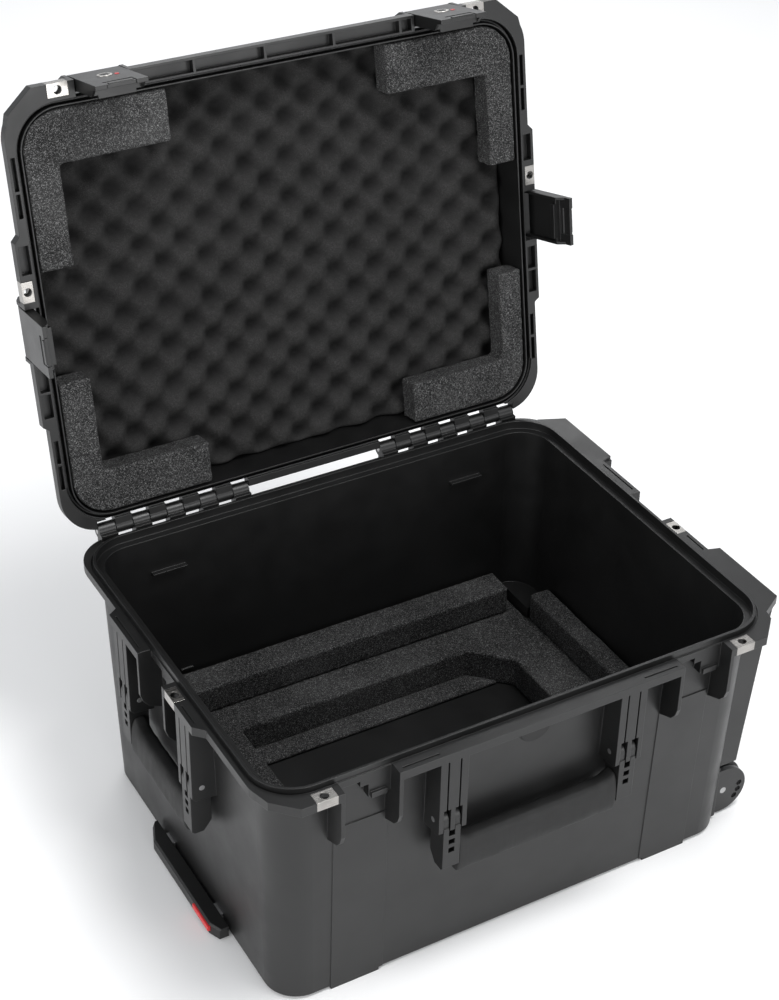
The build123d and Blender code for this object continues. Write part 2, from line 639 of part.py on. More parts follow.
def wheel_hub(y):
    with BuildPart() as hub:
        rod_y(WHEEL_X, WHEEL_Z, HUB_R, y - WHEEL_W / 2 + 2, y + WHEEL_W / 2 - 2)
        for side in (-1, 1):
            y0, y1 = sorted((y + side * 8, y + side * (WHEEL_W / 2 + 1)))
            rod_y(WHEEL_X, WHEEL_Z, HUB_R - 3, y0, y1, Mode.SUBTRACT)
            rod_y(WHEEL_X, WHEEL_Z, HUB_BOSS_R, y0 - 0.5, y1 - 0.5 + (side < 0) * 0.5)
        for index in range(HUB_HOLES):
            angle = 2 * math.pi * index / HUB_HOLES
            x = WHEEL_X + HUB_HOLE_PITCH_R * math.cos(angle)
            z = WHEEL_Z + HUB_HOLE_PITCH_R * math.sin(angle)
            rod_y(x, z, HUB_HOLE_R, y - WHEEL_W, y + WHEEL_W, Mode.SUBTRACT)
        rod_y(WHEEL_X, WHEEL_Z, AXLE_R + RUN, y - WHEEL_W, y + WHEEL_W, Mode.SUBTRACT)
    return hub.part


def wheel_tyre(y):
    with BuildPart() as tyre:
        rod_y(WHEEL_X, WHEEL_Z, WHEEL_R, y - WHEEL_W / 2, y + WHEEL_W / 2)
        chamfer(tyre.edges().filter_by(GeomType.CIRCLE), 3)
        rod_y(WHEEL_X, WHEEL_Z, HUB_R, y - WHEEL_W, y + WHEEL_W, Mode.SUBTRACT)
    return tyre.part


for name, y in zip(("front", "back"), WHEEL_Y):
    save(wheel_hub(y), f"wheel_{name}_hub")
    save(wheel_tyre(y), f"wheel_{name}_tyre")

# ---------------------------------------------------------------- pull handle
SLEEVE_X0 = -268.0
SLEEVE_X1 = 185.0
TUBE_X0 = PULL_X0 + 6.5
TUBE_X1 = 150.0


def flat_tube(y, x0, x1, width, height, skin):
    block(x0, x1, y - width / 2, y + width / 2, TUBE_Z - height / 2, TUBE_Z + height / 2)
    block(
        x0 - 1, x1 + 1, y - width / 2 + skin, y + width / 2 - skin,
        TUBE_Z - height / 2 + skin, TUBE_Z + height / 2 - skin, Mode.SUBTRACT,
    )


with BuildPart() as tube_sleeves:
    for y in TUBE_Y:
        flat_tube(y, SLEEVE_X0, SLEEVE_X1, 20.6, 11.2, 1.1)

save(tube_sleeves.part, "tube_sleeves")

with BuildPart() as tube_clips:
    for y in TUBE_Y:
        for x in (-230, -40, 150):
            block(x - 8, x + 8, y - 14, y - 10.4, FOOT_H + 0.4, FLOOR_Z - FLOOR_T - 0.1)
            block(x - 8, x + 8, y + 10.4, y + 14, FOOT_H + 0.4, FLOOR_Z - FLOOR_T - 0.1)
            block(x - 8, x + 8, y - 14, y + 14, FOOT_H - 1.2, FOOT_H + 0.4)

save(tube_clips.part, "tube_clips")

with BuildPart() as pull_tubes:
    for y in TUBE_Y:
        flat_tube(y, TUBE_X0, TUBE_X1, 18.0, 8.6, 1.2)

save(pull_tubes.part, "pull_tubes")

with BuildPart() as pull_bar:
    with BuildSketch(Plane.XY.offset(3)) as outline:
        Polygon(
            (PULL_X1, PULL_Y0), (PULL_X0 + 6, PULL_Y0), (PULL_X0, PULL_Y0 + 14),
            (PULL_X0, PULL_Y1 - 26), (PULL_X0 + 8, PULL_Y1 - 6), (PULL_X1 - 3, PULL_Y1), (PULL_X1, PULL_Y1),
            align=None,
        )
    extrude(outline.sketch, amount=13.5)
    chamfer(pull_bar.faces().sort_by(Axis.Z)[-1].edges().sort_by(Axis.X)[:3], 2)
    block(-320, -290.5, BUTTON_Y0 - 0.3, BUTTON_Y1 + 0.3, 7, 14.3, Mode.SUBTRACT)
    for y in TUBE_Y:
        block(TUBE_X0 - 0.1, -250, y - 9.05, y + 9.05, TUBE_Z - 4.35, TUBE_Z + 4.35, Mode.SUBTRACT)

save(pull_bar.part, "pull_bar")

with BuildPart() as release_button:
    block(-298.2, -293, BUTTON_Y0, BUTTON_Y1, 7.3, 14)
    fillet(release_button.faces().sort_by(Axis.X)[0].edges(), 1.0)

save(release_button.part, "release_button")

# ---------------------------------------------------------------- lid, drawn closed and carried open
def latch_ears(reach):
    """The lid's two ears that carry a latch's pin."""
    with BuildPart() as ears:
        for side in (-1, 1):
            u0, u1 = sorted((side * CATCH_HALF, side * (CATCH_HALF + FIN_T)))
            ear = [
                (2, LID_Z0), (-reach, LID_Z0), (-reach, LATCH_PIN_Z), (-reach + 5, 328),
                (-reach + 12, 333), (-5, 335), (4, 352), (6, LID_Z0),
            ]
            prism_x(ear, u0, u1)
        rod_x(-LATCH_PIN_V, LATCH_PIN_Z, LATCH_PIN_R + PRESS, -FAR, FAR, Mode.SUBTRACT)
    return ears.part


with BuildPart() as lid_closed:
    rim_r = TUB_R_TOP + LID_OUT
    tapered(LID_HALF_RIM, rim_r, LID_Z0, LID_HALF_TOP, rim_r - 3, LID_TOP - 5)
    brow = (LID_HALF_TOP[0] - 5, LID_HALF_TOP[1] - 5)
    tapered(LID_HALF_TOP, rim_r - 3, LID_TOP - 5, brow, rim_r - 8, LID_TOP)
    add(lid_flange())
    for place, lock_side, reach, _ in STATIONS.values():
        add(place * catch_notch(reach, LID_Z0 - 1, LID_Z0 + 60), mode=Mode.SUBTRACT)
        add(place * latch_ears(reach))
        add(
            place * lock_plate_seat(lock_side, reach, LID_Z0, LID_Z0 + LID_FLANGE_T),
            mode=Mode.SUBTRACT,
        )
    # pockets in the flange's underside with cross ribs left between them
    pocket_z = LID_Z0 + LID_FLANGE_T - 3
    for a, b in zip(FLANGE_RIBS, FLANGE_RIBS[1:]):
        block(a + 1.5, b - 1.5, -242, -229.5, LID_Z0 - 1, pocket_z, Mode.SUBTRACT)
    for side in (-1, 1):
        for y0, y1 in ((-90, -60), (42, 68), (71, 97)):
            x0, x1 = sorted((side * 293.5, side * 304))
            block(x0, x1, y0, y1, LID_Z0 - 1, pocket_z, Mode.SUBTRACT)
        for y0, y1 in ((-180, -146), (-143, -118), (124, 150), (153, 180)):
            x0, x1 = sorted((side * 293.5, side * 298))
            block(x0, x1, y0, y1, LID_Z0 - 1, pocket_z, Mode.SUBTRACT)
    # sunk panels in the lid's top
    for x0, x1 in ((-250, -98), (-82, 82), (98, 250)):
        for y0, y1 in ((-188, -10), (10, 188)):
            block(x0, x1, y0, y1, LID_INNER_TOP + 5, LID_TOP + 5, Mode.SUBTRACT)
    # hinge: room for the base's knuckles, then the lid's own
    for side in (-1, 1):
        for index in range(0, KNUCKLES, 2):
            a = side * (HINGE_X0 + index * KNUCKLE_W)
            b = side * (HINGE_X0 + (index + 1) * KNUCKLE_W)
            room = (min(a, b) - KNUCKLE_GAP, max(a, b) + KNUCKLE_GAP)
            block(*room, WEB_Y - 0.6, 260, LID_Z0 - 20, LID_Z0 + 30, Mode.SUBTRACT)
    add(hinge_knuckles(1, HINGE_Z - 4, LID_Z0 + LID_FLANGE_T, 226))
    for side in (-1, 1):
        x0, x1 = sorted((side * (HINGE_X0 - 5), side * (HINGE_X0 + KNUCKLES * KNUCKLE_W + 5)))
        rod_x(HINGE_Y, HINGE_Z, HINGE_PIN_R + RUN, x0, x1, Mode.SUBTRACT)
    # hollow inside and the groove for the tongue and the seal
    mouth = (TUB_TOP[0] + LID_MOUTH, TUB_TOP[1] + LID_MOUTH)
    deep = (mouth[0] - 3, mouth[1] - 3)
    mouth_r = TUB_R_TOP + LID_MOUTH
    tapered(mouth, mouth_r, LID_Z0 - 0.01, deep, mouth_r - 3, LID_INNER_TOP, Mode.SUBTRACT)
    ring(
        TONGUE_OUT + 0.8, TONGUE_T + 1.6, TUB_R_TOP + TONGUE_OUT + 0.8,
        LID_Z0 - 0.01, LID_Z0 + 9.2, Mode.SUBTRACT,
    )
    # along the hinge side the groove's mouth is wider, clear of the tongue as the lid swings
    swing = TONGUE_OUT + SWING_ROOM
    with BuildSketch(Plane.XY.offset(LID_Z0 - 0.01)) as mouth_step:
        RectangleRounded(2 * (TUB_TOP[0] + swing), 2 * (TUB_TOP[1] + swing), TUB_R_TOP + swing)
        RectangleRounded(
            2 * (TUB_TOP[0] + TONGUE_OUT), 2 * (TUB_TOP[1] + TONGUE_OUT), TUB_R_TOP + TONGUE_OUT,
            mode=Mode.SUBTRACT,
        )
        with Locations((0, TUB_TOP[1] + 100)):
            Rectangle(800, 280, mode=Mode.INTERSECT)
    extrude(mouth_step.sketch, amount=3.0, mode=Mode.SUBTRACT)

save(OPEN_LID * lid_closed.part, "lid_shell")

with BuildPart() as lid_seal:
    ring(TONGUE_OUT + 0.5, TONGUE_T + 1.0, TUB_R_TOP + TONGUE_OUT + 0.5, LID_Z0 + 5.6, LID_Z0 + 9.1)

save(OPEN_LID * lid_seal.part, "lid_seal")

EGG_Z0 = 323.0
EGG_Z1 = LID_INNER_TOP - 0.4
with BuildPart() as lid_egg_foam:
    with BuildSketch(Plane.XY.offset(EGG_Z0)) as sheet:
        RectangleRounded(2 * (deep[0] - 0.8), 2 * (deep[1] - 0.8), TUB_R_TOP - 1)
    extrude(sheet.sketch, amount=EGG_Z1 - EGG_Z0)

save(OPEN_LID * lid_egg_foam.part, "lid_egg_foam")

# L-shaped corner blocks: the corner's signs, how far each arm runs, and how wide it is
CORNERS = {
    "front_left": (-1, -1, 125.6, 55.6, -57.0, 247.6),
    "front_right": (1, -1, 127.3, 54.6, -61.7, 250.7),
    "back_left": (-1, 1, 124.5, 47.6, 64.0, 247.6),
    "back_right": (1, 1, 133.3, 47.6, 66.5, 254.5),
}


def corner_block(side_x, side_y, arm_x, arm_width, arm_y, arm_inner_x):
    """L of two arms that follows the lid's rounded corner."""
    hx = TUB_TOP[0] + 0.5
    hy = TUB_TOP[1] + 0.5
    with BuildPart() as corner:
        with BuildSketch(Plane.XY.offset(LID_Z0 + 1.2)) as shape:
            RectangleRounded(2 * hx, 2 * hy, TUB_R_TOP + 0.5)
            Polygon(
                (side_x * arm_x, side_y * 400), (side_x * arm_x, side_y * (hy - arm_width)),
                (side_x * arm_inner_x, side_y * (hy - arm_width)), (side_x * arm_inner_x, arm_y),
                (side_x * 400, arm_y), (side_x * 400, side_y * 400),
                align=None, mode=Mode.INTERSECT,
            )
        extrude(shape.sketch, amount=EGG_Z0 - LID_Z0 - 1.5)
    return corner.part


for name, values in CORNERS.items():
    save(OPEN_LID * corner_block(*values), f"lid_foam_{name}")

# ---------------------------------------------------------------- latches, drawn closed
KEY_Z = 284.0
KEY_R = 8.0
DOT_U = 11.5
DOT_Z = 280.0
DOT_R = 2.4
TRIGGER_Z = 249.2            # the trigger's pivot
TRIGGER_HALF = 15.1


def latch_plate(reach, keyed):
    """Channel-shaped latch: barrel on its pin, outer plate, side walls and the claw."""
    v1 = reach - 0.4
    with BuildPart() as latch:
        outer = [
            (-v1, LATCH_BOTTOM), (-v1, 316), (-v1 + 2, 322), (-LATCH_PIN_V - 2, 325.6),
            (-LATCH_PIN_V + 3, 325), (-LATCH_PIN_V + 7, 319), (-LATCH_PIN_V + 5, 311),
            (-v1 + 4.5, 303), (-v1 + 4.5, LATCH_BOTTOM),
        ]
        prism_x(outer, -LATCH_HALF, LATCH_HALF)
        rod_x(-LATCH_PIN_V, LATCH_PIN_Z, 7.4, -LATCH_HALF, LATCH_HALF)
        wall = [(-v1, 244), (-v1, 308), (-13, 312), (-13, 254), (-v1 + 3, 244)]
        for side in (-1, 1):
            u0, u1 = sorted((side * LATCH_HALF, side * (LATCH_HALF - 3)))
            prism_x(wall, u0, u1)
        block(-20, 20, -v1 + 3, -CATCH_V - 0.8, LIP_Z0 - 6, LIP_Z0 - 0.6)
        block(-LATCH_HALF, LATCH_HALF, -v1 + 3, -13.4, LIP_Z0 - 6, LIP_Z0 - 3)
        # room for the trigger at the free end
        room = TRIGGER_HALF + 0.4
        block(-room, room, -v1 - 1, -v1 + 6, LATCH_BOTTOM - 1, 252, Mode.SUBTRACT)
        rod_x(-LATCH_PIN_V, LATCH_PIN_Z, LATCH_PIN_R + RUN, -FAR, FAR, Mode.SUBTRACT)
        if keyed:
            rod_y(0, KEY_Z, KEY_R + RUN, -v1 - 5, -v1 + 6, Mode.SUBTRACT)
            rod_y(DOT_U, DOT_Z, DOT_R + PRESS, -v1 - 5, -v1 + 2, Mode.SUBTRACT)
    return latch.part


def latch_trigger(reach):
    """Small lever in the latch's free end."""
    v1 = reach - 0.4
    with BuildPart() as trigger:
        block(-TRIGGER_HALF, TRIGGER_HALF, -v1 + 0.6, -v1 + 4, LATCH_BOTTOM + 0.6, 251.4)
        rod_x(-v1 + 2.6, TRIGGER_Z, 2.2, -TRIGGER_HALF, TRIGGER_HALF)
        block(-13, 13, -v1 - 0.6, -v1 + 1, LATCH_BOTTOM + 1.4, 243)
    return trigger.part


def key_barrel(reach):
    v1 = reach - 0.4
    with BuildPart() as barrel:
        rod_y(0, KEY_Z, KEY_R, -v1 - 0.8, -v1 + 5)
        fillet(barrel.faces().sort_by(Axis.Y)[0].edges(), 0.6)
        block(-3.4, 3.4, -v1 - 3, -v1 + 2.5, KEY_Z - 0.9, KEY_Z + 0.9, Mode.SUBTRACT)
    return barrel.part


def red_dot(reach):
    """Round red indicator beside the key barrel."""
    v1 = reach - 0.4
    with BuildPart() as dot:
        rod_y(DOT_U, DOT_Z, DOT_R, -v1 - 0.5, -v1 + 2)
    return dot.part


for name, (place, _, reach, rest) in STATIONS.items():
    keyed = name.startswith("front")
    hang = OPEN_LID * place * swing_latch(rest)
    save(hang * latch_plate(reach, keyed), f"latch_{name}_plate")
    save(hang * latch_trigger(reach), f"latch_{name}_trigger")
    if keyed:
        save(hang * key_barrel(reach), f"latch_{name}_key_barrel")
        save(hang * red_dot(reach), f"latch_{name}_indicator")


def latch_pin():
    length = CATCH_HALF + FIN_T
    with BuildPart() as pin:
        rod_x(-LATCH_PIN_V, LATCH_PIN_Z, LATCH_PIN_R, -length, length)
    return pin.part


with BuildPart() as latch_pins:
    for place, _, _, _ in STATIONS.values():
        add(OPEN_LID * place * latch_pin())

save(latch_pins.part, "latch_pins")
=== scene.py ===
"""Looks of the hard transport case: materials for the CAD pieces, foam, grips and seal, light and camera.

Everything is in metres, in the CAD model's frame.
"""

import json
import math

import bmesh
import bpy
import numpy as np
from mathutils import Matrix, Vector, noise


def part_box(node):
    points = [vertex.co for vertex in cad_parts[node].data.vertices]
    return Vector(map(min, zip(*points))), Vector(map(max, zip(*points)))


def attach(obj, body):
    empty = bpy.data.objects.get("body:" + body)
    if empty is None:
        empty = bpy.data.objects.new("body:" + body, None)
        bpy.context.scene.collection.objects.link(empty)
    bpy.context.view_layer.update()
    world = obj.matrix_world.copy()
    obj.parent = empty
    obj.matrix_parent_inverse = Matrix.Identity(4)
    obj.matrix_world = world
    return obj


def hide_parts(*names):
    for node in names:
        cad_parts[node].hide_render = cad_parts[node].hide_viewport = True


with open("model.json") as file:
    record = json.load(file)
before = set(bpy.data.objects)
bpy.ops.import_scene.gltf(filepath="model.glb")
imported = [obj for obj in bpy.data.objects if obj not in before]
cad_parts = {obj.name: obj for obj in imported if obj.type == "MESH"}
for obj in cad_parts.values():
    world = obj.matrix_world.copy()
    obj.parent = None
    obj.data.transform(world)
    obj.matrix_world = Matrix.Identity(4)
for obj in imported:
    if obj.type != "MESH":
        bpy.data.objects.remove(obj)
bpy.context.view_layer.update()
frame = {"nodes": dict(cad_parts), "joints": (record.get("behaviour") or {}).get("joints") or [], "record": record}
NODES = frame["nodes"]
MM = 0.001

HINGE = next(j for j in frame["joints"] if j["name"] == "lid_hinge")
PIVOT = Vector(HINGE["pos_m"])
OPENED = (
    Matrix.Translation(PIVOT)
    @ Matrix.Rotation(-math.radians(HINGE["range_deg"][1]), 4, Vector(HINGE["axis"]))
    @ Matrix.Translation(-PIVOT)
)


# ---------------------------------------------------------------- camera, light and floor
CAMERA_AT = (-0.87386, -1.43841, 1.54181)
CAMERA_RIGHT = (0.87028, -0.49229, 0.01621)
CAMERA_LOOK = (0.41528, 0.71565, -0.56159)
SENSOR_WIDTH = 36.0
FOCAL_LENGTH = 71.73
FLOOR_REACH = 14


def make_camera():
    data = bpy.data.cameras.new("camera")
    data.sensor_width = SENSOR_WIDTH
    data.lens = FOCAL_LENGTH
    data.clip_start = 0.05
    data.clip_end = 60.0
    camera = bpy.data.objects.new("camera", data)
    bpy.context.scene.collection.objects.link(camera)
    right = Vector(CAMERA_RIGHT).normalized()
    look = Vector(CAMERA_LOOK).normalized()
    up = right.cross(look).normalized()
    right = look.cross(up).normalized()
    camera.matrix_world = Matrix((
        (right.x, up.x, -look.x, CAMERA_AT[0]),
        (right.y, up.y, -look.y, CAMERA_AT[1]),
        (right.z, up.z, -look.z, CAMERA_AT[2]),
        (0, 0, 0, 1),
    ))
    bpy.context.scene.camera = camera


def area_light(name, place, target, size, power):
    data = bpy.data.lights.new(name, "AREA")
    data.shape = "RECTANGLE"
    data.size, data.size_y = size
    data.energy = power
    light = bpy.data.objects.new(name, data)
    bpy.context.scene.collection.objects.link(light)
    light.location = place
    light.rotation_mode = "QUATERNION"
    light.rotation_quaternion = (Vector(target) - Vector(place)).to_track_quat("-Z", "Y")


def make_light():
    scene = bpy.context.scene
    scene.view_settings.view_transform = "Standard"
    world = bpy.data.worlds.new("studio")
    world.use_nodes = True
    world.node_tree.nodes["Background"].inputs["Color"].default_value = (0.95, 0.97, 1.0, 1)
    world.node_tree.nodes["Background"].inputs["Strength"].default_value = 0.60
    scene.world = world
    area_light("key_left", (-3.0, -0.9, 1.0), (0, 0, 0.2), (2.0, 1.2), 50)
    area_light("front", (0.5, -3.2, 0.9), (0, 0, 0.2), (2.6, 1.2), 46)
    area_light("above", (0.5, -0.7, 3.0), (0, 0.2, 0.3), (1.0, 1.0), 50)
    area_light("behind", (1.2, 2.4, 2.0), (0, 0.2, 0.4), (1.6, 1.2), 22)


def make_floor():
    mesh = bpy.data.meshes.new("floor")
    far = FLOOR_REACH
    mesh.from_pydata([(-far, -far, 0), (far, -far, 0), (far, far, 0), (-far, far, 0)], [], [(0, 1, 2, 3)])
    floor = bpy.data.objects.new("floor", mesh)
    bpy.context.scene.collection.objects.link(floor)
    paint, tree, shader = new_material("pale_floor")
    shader.inputs["Base Color"].default_value = (0.94, 0.94, 0.94, 1)
    shader.inputs["Roughness"].default_value = 0.85
    shader.inputs["Specular IOR Level"].default_value = 0.1
    mesh.materials.append(paint)


# ---------------------------------------------------------------- node helpers
def new_material(name):
    paint = bpy.data.materials.new(name)
    paint.use_nodes = True
    return paint, paint.node_tree, paint.node_tree.nodes["Principled BSDF"]


def add_node(tree, kind, inputs=None, **settings):
    made = tree.nodes.new(kind)
    for key, value in settings.items():
        setattr(made, key, value)
    for key, value in (inputs or {}).items():
        socket = made.inputs[key]
        if isinstance(value, bpy.types.NodeSocket):
            tree.links.new(value, socket)
        else:
            socket.default_value = value
    return made


def place_of(tree, stretch=None):
    """Position in the piece's own space, which is the CAD frame at rest."""
    at = add_node(tree, "ShaderNodeTexCoord").outputs["Object"]
    if stretch is None:
        return at
    return add_node(tree, "ShaderNodeMapping", {"Vector": at, "Scale": stretch}).outputs["Vector"]


def noise_of(tree, at, scale, detail=2.0, rough=0.5):
    made = add_node(tree, "ShaderNodeTexNoise", {
        "Vector": at, "Scale": scale, "Detail": detail, "Roughness": rough,
    })
    return made.outputs["Fac"]


def cells_of(tree, at, scale):
    """One random grey for each small cell."""
    made = add_node(tree, "ShaderNodeTexVoronoi", {"Vector": at, "Scale": scale})
    parts = add_node(tree, "ShaderNodeSeparateColor", {"Color": made.outputs["Color"]})
    return parts.outputs["Red"], made.outputs["Distance"]


def spread(tree, value, low, high, to_low=0.0, to_high=1.0):
    made = add_node(tree, "ShaderNodeMapRange", {
        "Value": value, "From Min": low, "From Max": high, "To Min": to_low, "To Max": to_high,
    })
    made.clamp = True
    return made.outputs["Result"]


def math_of(tree, kind, first, second):
    return add_node(tree, "ShaderNodeMath", {0: first, 1: second}, operation=kind).outputs["Value"]


def blend_colours(tree, share, first, second):
    made = add_node(tree, "ShaderNodeMix", data_type="RGBA")
    for index, value in ((0, share), (6, first), (7, second)):
        if isinstance(value, bpy.types.NodeSocket):
            tree.links.new(value, made.inputs[index])
        else:
            made.inputs[index].default_value = value
    return made.outputs[2]


def bump_of(tree, height, strength, depth, under=None):
    inputs = {"Height": height, "Strength": strength, "Distance": depth}
    if under is not None:
        inputs["Normal"] = under
    return add_node(tree, "ShaderNodeBump", inputs).outputs["Normal"]


def worn_edge(tree, radius):
    """Rounded normal, and a mask that is 1 on sharp edges."""
    soft = add_node(tree, "ShaderNodeBevel", {"Radius": radius}, samples=6).outputs["Normal"]
    true = add_node(tree, "ShaderNodeNewGeometry").outputs["Normal"]
    dot = add_node(tree, "ShaderNodeVectorMath", {0: soft, 1: true}, operation="DOT_PRODUCT")
    return soft, spread(tree, dot.outputs["Value"], 0.995, 0.86)


def grey(value, warm=0.0):
    return (value * (1 + warm), value, value * (1 - warm), 1)


# ---------------------------------------------------------------- materials
SHEET_TOP = 324.0 * MM  # where the lid sheet's hollows start, with the lid closed


def moulded_plastic(name, dark, light, worn, rough, grain=1500.0, edge=0.9 * MM, relief=0.16):
    """Satin moulded plastic: fine grain, faint mottling and scuffs, paler rubbed edges."""
    paint, tree, shader = new_material(name)
    at = place_of(tree)
    mottle = noise_of(tree, at, 7.0, 4.0, 0.6)
    base = blend_colours(tree, spread(tree, mottle, 0.35, 0.7), dark, light)
    scuff_at = place_of(tree, (30.0, 170.0, 45.0))
    scuff = spread(tree, noise_of(tree, scuff_at, 4.0, 5.0, 0.65), 0.68, 0.82)
    base = blend_colours(tree, math_of(tree, "MULTIPLY", scuff, 0.25), base, worn)
    soft, edges = worn_edge(tree, edge)
    patchy = spread(tree, noise_of(tree, at, 55.0, 3.0), 0.35, 0.65, 0.15, 1.0)
    rubbed = math_of(tree, "MULTIPLY", edges, patchy)
    base = blend_colours(tree, math_of(tree, "MULTIPLY", rubbed, 0.55), base, worn)
    tree.links.new(base, shader.inputs["Base Color"])
    sheen = spread(tree, noise_of(tree, at, 24.0, 4.0), 0.3, 0.7, rough - 0.05, rough + 0.06)
    tree.links.new(sheen, shader.inputs["Roughness"])
    fine = noise_of(tree, at, grain, 2.0, 0.6)
    tree.links.new(bump_of(tree, fine, relief, 0.25 * MM, soft), shader.inputs["Normal"])
    shader.inputs["Specular IOR Level"].default_value = 0.5
    return paint


def foam_paint(name, dark, light, cell, contrast, depth, in_lid=False):
    """Foam cut through its cells: a pale and dark speckle with open pores.

    A sheet in the lid gets painted shade: its colour darkens towards the bottom of its hollows.
    """
    paint, tree, shader = new_material(name)
    at = place_of(tree)
    tone, hollow = cells_of(tree, at, 1.0 / cell)
    tone_small, hollow_small = cells_of(tree, at, 2.3 / cell)
    cloudy = noise_of(tree, at, 12.0, 3.0)
    speck = math_of(tree, "MULTIPLY", tone, tone_small)
    speck = math_of(tree, "POWER", speck, contrast)
    speck = math_of(tree, "ADD", speck, spread(tree, cloudy, 0.3, 0.7, -0.05, 0.06))
    base = blend_colours(tree, spread(tree, speck, 0.0, 1.0), dark, light)
    if in_lid:
        across = OPENED.to_3x3() @ Vector((0, 0, 1))
        height = add_node(tree, "ShaderNodeVectorMath", {0: at, 1: across}, operation="DOT_PRODUCT")
        start = across.dot(OPENED @ Vector((0, 0, SHEET_TOP)))
        # painted shade: the sheet's colour darkens with depth into its hollows, where shade falls
        hollow_painted_shade = spread(tree, height.outputs["Value"], start + 2 * MM, start + 14 * MM, 0.0, 0.8)
        base = blend_colours(tree, hollow_painted_shade, base, grey(0.002))
    tree.links.new(base, shader.inputs["Base Color"])
    pores = math_of(tree, "ADD", hollow, math_of(tree, "MULTIPLY", hollow_small, 0.5))
    tree.links.new(bump_of(tree, pores, 0.6, depth), shader.inputs["Normal"])
    tree.links.new(spread(tree, tone, 0.0, 1.0, 0.72, 0.95), shader.inputs["Roughness"])
    shader.inputs["Specular IOR Level"].default_value = 0.3
    return paint


def metal_paint(name, colour, rough, streak=(6.0, 700.0, 700.0)):
    """Plated metal with fine streaks and dull patches."""
    paint, tree, shader = new_material(name)
    at = place_of(tree)
    lines = noise_of(tree, place_of(tree, streak), 1.0, 3.0)
    dull = spread(tree, noise_of(tree, at, 70.0, 4.0), 0.35, 0.75)
    base = blend_colours(tree, math_of(tree, "MULTIPLY", dull, 0.35), colour, grey(0.12, 0.03))
    tree.links.new(base, shader.inputs["Base Color"])
    tree.links.new(spread(tree, lines, 0.25, 0.75, rough, rough + 0.18), shader.inputs["Roughness"])
    soft, _ = worn_edge(tree, 0.5 * MM)
    tree.links.new(bump_of(tree, lines, 0.12, 0.08 * MM, soft), shader.inputs["Normal"])
    shader.inputs["Metallic"].default_value = 1.0
    return paint


def rubber_paint(name, dark, light, rough=0.62, grain=1900.0):
    """Soft matt rubber with a slightly dusty, cloudy tone."""
    paint, tree, shader = new_material(name)
    at = place_of(tree)
    cloud = noise_of(tree, at, 40.0, 5.0, 0.65)
    base = blend_colours(tree, spread(tree, cloud, 0.3, 0.75), dark, light)
    tree.links.new(base, shader.inputs["Base Color"])
    tree.links.new(spread(tree, cloud, 0.3, 0.7, rough - 0.06, rough + 0.1), shader.inputs["Roughness"])
    fine = noise_of(tree, at, grain, 2.0, 0.6)
    soft, _ = worn_edge(tree, 0.8 * MM)
    tree.links.new(bump_of(tree, fine, 0.25, 0.2 * MM, soft), shader.inputs["Normal"])
    shader.inputs["Specular IOR Level"].default_value = 0.4
    return paint


def red_paint():
    paint, tree, shader = new_material("red_plastic")
    at = place_of(tree)
    cloud = noise_of(tree, at, 90.0, 4.0)
    deep, bright = (0.50, 0.018, 0.02, 1), (0.66, 0.04, 0.045, 1)
    base = blend_colours(tree, spread(tree, cloud, 0.3, 0.7), deep, bright)
    tree.links.new(base, shader.inputs["Base Color"])
    tree.links.new(spread(tree, cloud, 0.3, 0.7, 0.28, 0.42), shader.inputs["Roughness"])
    soft, _ = worn_edge(tree, 0.6 * MM)
    tree.links.new(bump_of(tree, cloud, 0.1, 0.1 * MM, soft), shader.inputs["Normal"])
    return paint


def key_paint(node):
    """Lock face: a bright rim around a dark core, with the key slot painted in as near-black shade, drawn by
    distance from its axis.
    """
    paint = metal_paint("lock_" + node, (0.55, 0.53, 0.5, 1), 0.2)
    tree = paint.node_tree
    shader = tree.nodes["Principled BSDF"]
    low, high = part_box(node)
    centre = (low + high) / 2
    core_inner, core_outer = 5.0 * MM, 5.6 * MM
    slot_inner, slot_outer = 0.6 * MM, 0.9 * MM
    at = place_of(tree)
    axis = OPENED.to_3x3() @ Vector((0, 1, 0))
    minus = add_node(tree, "ShaderNodeVectorMath", {0: at, 1: centre}, operation="SUBTRACT")
    away = minus.outputs["Vector"]
    flat = add_node(tree, "ShaderNodeVectorMath", {0: away, 1: axis}, operation="CROSS_PRODUCT")
    span = add_node(tree, "ShaderNodeVectorMath", {0: flat.outputs["Vector"]}, operation="LENGTH")
    core = spread(tree, span.outputs["Value"], core_outer, core_inner)
    aside = add_node(tree, "ShaderNodeSeparateXYZ", {0: away}).outputs["X"]
    stripe = spread(tree, math_of(tree, "ABSOLUTE", aside, 0.0), slot_outer, slot_inner)
    base = shader.inputs["Base Color"].links[0].from_socket
    dull = blend_colours(tree, math_of(tree, "MULTIPLY", core, 0.93), base, grey(0.006))
    # painted shade: the key slot is a near-black stripe in the colour, standing for the shade inside the slot
    key_slot_shade = math_of(tree, "MULTIPLY", stripe, core)
    tree.links.new(blend_colours(tree, key_slot_shade, dull, grey(0.002)), shader.inputs["Base Color"])
    return paint


def dress(paint, *names):
    for name in names:
        slots = NODES[name].data.materials
        slots.clear()
        slots.append(paint)


# ---------------------------------------------------------------- mesh helpers
def new_piece(name, verts, faces, paint):
    mesh = bpy.data.meshes.new(name)
    mesh.from_pydata([tuple(v) for v in verts], [], faces)
    mesh.validate()
    mesh.materials.append(paint)
    mesh.polygons.foreach_set("use_smooth", [True] * len(mesh.polygons))
    piece = bpy.data.objects.new(name, mesh)
    bpy.context.scene.collection.objects.link(piece)
    return piece


def apply_modifiers(piece):
    bpy.context.view_layer.update()
    shown = piece.evaluated_get(bpy.context.evaluated_depsgraph_get())
    mesh = bpy.data.meshes.new_from_object(shown)
    old = piece.data
    piece.modifiers.clear()
    piece.data = mesh
    bpy.data.meshes.remove(old)
    mesh.name = piece.name


def fix_normals(piece):
    work = bmesh.new()
    work.from_mesh(piece.data)
    bmesh.ops.recalc_face_normals(work, faces=work.faces)
    work.to_mesh(piece.data)
    work.free()


